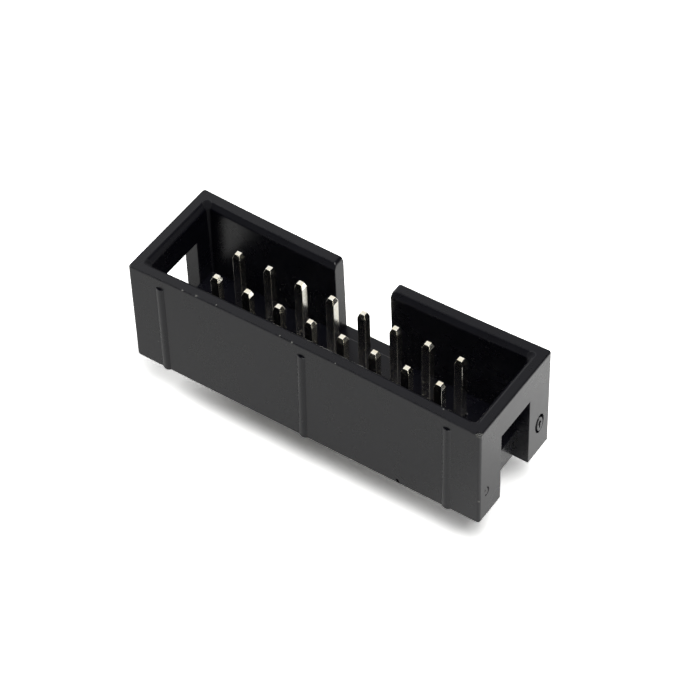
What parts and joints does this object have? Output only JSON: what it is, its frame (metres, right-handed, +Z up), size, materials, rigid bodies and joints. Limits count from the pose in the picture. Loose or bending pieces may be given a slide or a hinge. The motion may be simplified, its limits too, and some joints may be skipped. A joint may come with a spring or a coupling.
{
  "type": "idc box header",
  "caption": "Straight boxed pin header for a flat cable socket: moulded keyed shroud round two rows of square pins with solder tails.",
  "frame": {"origin": "middle of the housing's flat underside, the face that sits on the board, centred between the pins", "axes": "+X along the pin rows, +Y across the rows towards the notched wall, +Z up out of the board towards the open rim"},
  "size_m": [0.0278, 0.0089, 0.0117],
  "materials": {
    "black_moulding": "satin black glass-filled thermoplastic",
    "gold_plating": "thin pale gold plating on square brass wire"
  },
  "bodies": {
    "root": {"housing": "black_moulding", "pin_01": "gold_plating", "pin_02": "gold_plating", "pin_03": "gold_plating", "pin_04": "gold_plating", "pin_05": "gold_plating", "pin_06": "gold_plating", "pin_07": "gold_plating", "pin_08": "gold_plating", "pin_09": "gold_plating", "pin_10": "gold_plating", "pin_11": "gold_plating", "pin_12": "gold_plating", "pin_13": "gold_plating", "pin_14": "gold_plating", "pin_15": "gold_plating", "pin_16": "gold_plating"}
  },
  "joints": []
}
